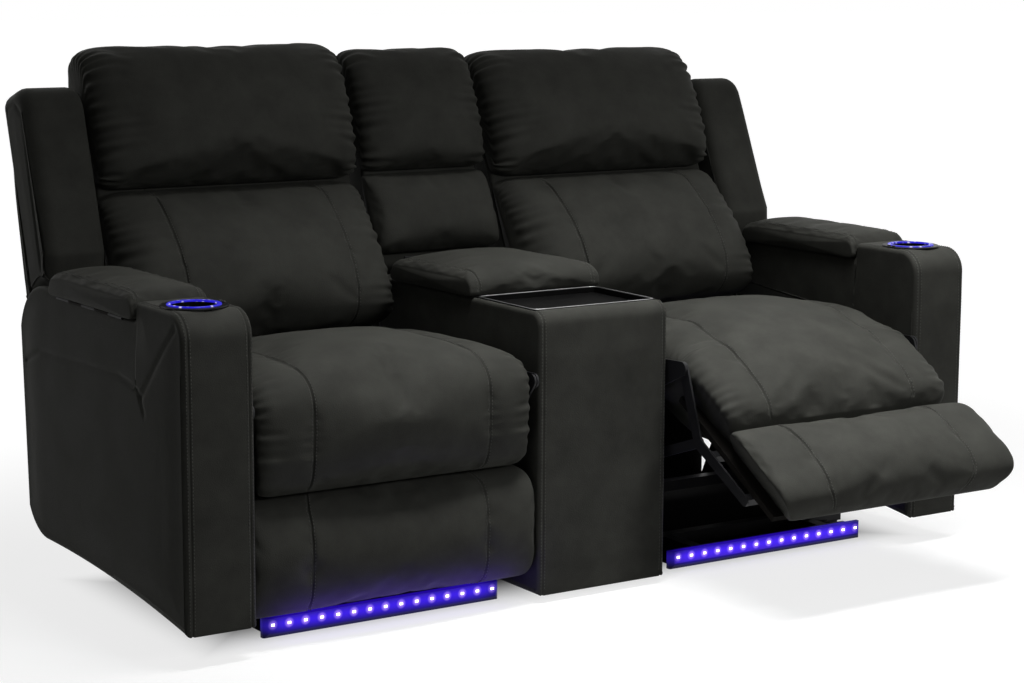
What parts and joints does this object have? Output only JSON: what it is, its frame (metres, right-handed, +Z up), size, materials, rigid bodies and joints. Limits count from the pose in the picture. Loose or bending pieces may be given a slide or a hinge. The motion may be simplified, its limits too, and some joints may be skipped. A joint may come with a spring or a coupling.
{
  "type": "reclining loveseat",
  "caption": "Power reclining loveseat with padded arms, a centre console with tray and storage, lit cup holders and a footrest linkage under each seat.",
  "frame": {"origin": "on the floor under the middle of the box at rest, with the right seat part open", "axes": "+X to the viewer's right, -Y to the front of the sofa, +Z up"},
  "size_m": [1.804, 1.1618, 1.027],
  "materials": {
    "charcoal_leather": "soft satin",
    "black_steel": "satin black",
    "bright_steel": "bright zinc",
    "black_gloss": "gloss",
    "black_plastic": "matte",
    "board": "plain board",
    "lamp_blue": "lit lens",
    "ring_blue": "lit ring"
  },
  "bodies": {
    "base": {"base_frames": "black_steel", "glides": "black_plastic", "light_rails": "black_plastic", "lamps": "lamp_blue", "left_arm": "charcoal_leather", "right_arm": "charcoal_leather", "cup_holders": "black_gloss", "cup_lights": "ring_blue", "arm_lid_hinges": "bright_steel", "console_box": "charcoal_leather", "console_tray": "black_gloss", "console_hinge": "bright_steel", "console_back_core": "charcoal_leather", "console_lower_pad": "charcoal_leather", "console_head_pad": "charcoal_leather"},
    "console_cover": {"console_lid_board": "board", "console_lid": "charcoal_leather"},
    "left_cover": {"left_lid_board": "board", "left_arm_lid": "charcoal_leather"},
    "left_open_key": {"left_open_button": "black_gloss"},
    "left_close_key": {"left_close_button": "black_gloss"},
    "left_carriage": {"left_side_plates": "black_steel", "left_seat_frame": "board", "left_seat_springs": "bright_steel", "left_seat_cushion": "charcoal_leather", "left_actuator": "black_plastic"},
    "left_crank": {"left_torque_crank": "black_steel"},
    "left_struts": {"left_lift_struts": "black_steel"},
    "left_drive": {"left_drive_block": "bright_steel"},
    "left_footrest": {"left_footrest_frame": "black_steel", "left_footrest_board": "board", "left_seat_front": "charcoal_leather", "left_footrest_pad": "charcoal_leather"},
    "left_back": {"left_back_shell": "charcoal_leather", "left_back_hinges": "black_steel", "left_lumbar": "charcoal_leather", "left_headrest": "charcoal_leather", "left_wing": "charcoal_leather"},
    "right_cover": {"right_lid_board": "board", "right_arm_lid": "charcoal_leather"},
    "right_open_key": {"right_open_button": "black_gloss"},
    "right_close_key": {"right_close_button": "black_gloss"},
    "right_carriage": {"right_side_plates": "black_steel", "right_seat_frame": "board", "right_seat_springs": "bright_steel", "right_seat_cushion": "charcoal_leather", "right_actuator": "black_plastic"},
    "right_crank": {"right_torque_crank": "black_steel"},
    "right_struts": {"right_lift_struts": "black_steel"},
    "right_drive": {"right_drive_block": "bright_steel"},
    "right_footrest": {"right_footrest_frame": "black_steel", "right_footrest_board": "board", "right_seat_front": "charcoal_leather", "right_footrest_pad": "charcoal_leather"},
    "right_back": {"right_back_shell": "charcoal_leather", "right_back_hinges": "black_steel", "right_lumbar": "charcoal_leather", "right_headrest": "charcoal_leather", "right_wing": "charcoal_leather"}
  },
  "joints": [
    {"name": "console_lid_hinge", "type": "hinge", "parent": "base", "child": "console_cover", "pos_m": [0, 0.30314, 0.602], "axis": [-1, 0, 0], "range_deg": [0, 85]},
    {"name": "left_lid_hinge", "type": "hinge", "parent": "base", "child": "left_cover", "pos_m": [-0.8982, 0.10494, 0.5842], "axis": [0, -1, 0], "range_deg": [0, 85]},
    {"name": "left_open_press", "type": "slide", "parent": "base", "child": "left_open_key", "axis": [0, 0, -1], "range_m": [0, 0.0015], "stiffness_N_per_m": 400},
    {"name": "left_close_press", "type": "slide", "parent": "base", "child": "left_close_key", "axis": [0, 0, -1], "range_m": [0, 0.0015], "stiffness_N_per_m": 400},
    {"name": "left_slide", "type": "slide", "parent": "base", "child": "left_carriage", "axis": [0, -1, 0], "range_m": [0, 0.062]},
    {"name": "left_footrest_hinge", "type": "hinge", "parent": "left_carriage", "child": "left_footrest", "pos_m": [-0.454, -0.23606, 0.432], "axis": [-1, 0, 0], "range_deg": [0, 80.05]},
    {"name": "left_crank_hinge", "type": "hinge", "parent": "left_carriage", "child": "left_crank", "pos_m": [-0.454, -0.07706, 0.378], "axis": [-1, 0, 0], "range_deg": [0, 80.05]},
    {"name": "left_strut_hinge", "type": "hinge", "parent": "left_crank", "child": "left_struts", "pos_m": [-0.454, 0.01394, 0.264], "axis": [-1, 0, 0], "range_deg": [-80.05, 0]},
    {"name": "left_drive_slide", "type": "slide", "parent": "left_carriage", "child": "left_drive", "axis": [0, -1, 0], "range_m": [0, 0.07715]},
    {"name": "left_back_hinge", "type": "hinge", "parent": "left_carriage", "child": "left_back", "pos_m": [-0.454, 0.30294, 0.4], "axis": [-1, 0, 0], "range_deg": [0, 40]},
    {"name": "right_lid_hinge", "type": "hinge", "parent": "base", "child": "right_cover", "pos_m": [0.8982, 0.10494, 0.5842], "axis": [0, 1, 0], "range_deg": [0, 85]},
    {"name": "right_open_press", "type": "slide", "parent": "base", "child": "right_open_key", "axis": [0, 0, -1], "range_m": [0, 0.0015], "stiffness_N_per_m": 400},
    {"name": "right_close_press", "type": "slide", "parent": "base", "child": "right_close_key", "axis": [0, 0, -1], "range_m": [0, 0.0015], "stiffness_N_per_m": 400},
    {"name": "right_slide", "type": "slide", "parent": "base", "child": "right_carriage", "axis": [0, -1, 0], "range_m": [-0.04495, 0.01705]},
    {"name": "right_footrest_hinge", "type": "hinge", "parent": "right_carriage", "child": "right_footrest", "pos_m": [0.454, -0.28101, 0.432], "axis": [-1, 0, 0], "range_deg": [-58.05, 22.05]},
    {"name": "right_crank_hinge", "type": "hinge", "parent": "right_carriage", "child": "right_crank", "pos_m": [0.454, -0.12201, 0.378], "axis": [-1, 0, 0], "range_deg": [-58.05, 22.05]},
    {"name": "right_strut_hinge", "type": "hinge", "parent": "right_crank", "child": "right_struts", "pos_m": [0.454, -0.17046, 0.24042], "axis": [-1, 0, 0], "range_deg": [-22.05, 58.05]},
    {"name": "right_drive_slide", "type": "slide", "parent": "right_carriage", "child": "right_drive", "axis": [0, -1, 0], "range_m": [-0.05593, 0.02122]},
    {"name": "right_back_hinge", "type": "hinge", "parent": "right_carriage", "child": "right_back", "pos_m": [0.454, 0.25799, 0.4], "axis": [-1, 0, 0], "range_deg": [-5.5, 34.5]}
  ],
  "couplings": [
    {"joint": "left_footrest_hinge", "follows": "left_slide", "rad_per_m": 22.52},
    {"joint": "left_crank_hinge", "follows": "left_slide", "rad_per_m": 22.52},
    {"joint": "left_strut_hinge", "follows": "left_slide", "rad_per_m": -22.52},
    {"joint": "left_drive_slide", "follows": "left_slide", "ratio": 1.2441},
    {"joint": "right_footrest_hinge", "follows": "right_slide", "rad_per_m": 22.52},
    {"joint": "right_crank_hinge", "follows": "right_slide", "rad_per_m": 22.52},
    {"joint": "right_strut_hinge", "follows": "right_slide", "rad_per_m": -22.52},
    {"joint": "right_drive_slide", "follows": "right_slide", "ratio": 1.2441}
  ]
}
